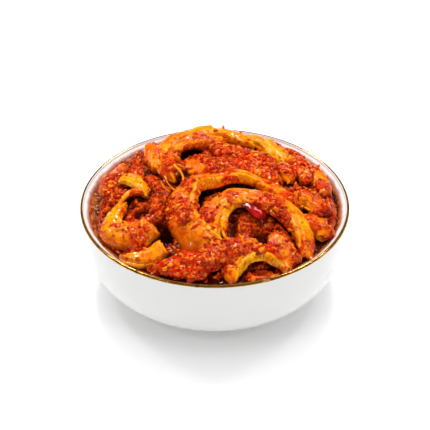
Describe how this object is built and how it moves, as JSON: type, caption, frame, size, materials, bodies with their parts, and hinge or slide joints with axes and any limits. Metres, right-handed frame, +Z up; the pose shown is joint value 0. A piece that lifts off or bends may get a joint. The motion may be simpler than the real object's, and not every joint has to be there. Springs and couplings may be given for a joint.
{
  "type": "bowl of elephant apple pickle",
  "caption": "Round porcelain bowl with a gilt lip, heaped with curved slices of elephant apple in spiced oil and masala paste.",
  "frame": {"origin": "centre of the foot ring's resting plane, on the bowl's axis", "axes": "+Z up along the bowl's axis; -Y towards the side the viewer looks at; +X to the viewer's right"},
  "size_m": [0.127, 0.127, 0.0586],
  "materials": {
    "porcelain": "white glaze, glossy, with a thin gilt line on the lip",
    "pickle": "wet fruit slices coated with oily red masala",
    "oil": "dark red-brown spiced oil, wet gloss",
    "chilli": "soft red chilli skin, wet gloss"
  },
  "bodies": {
    "root": {"bowl": "porcelain", "spiced_oil": "oil", "pickle_heap": "pickle", "chilli_piece": "chilli"}
  },
  "joints": []
}
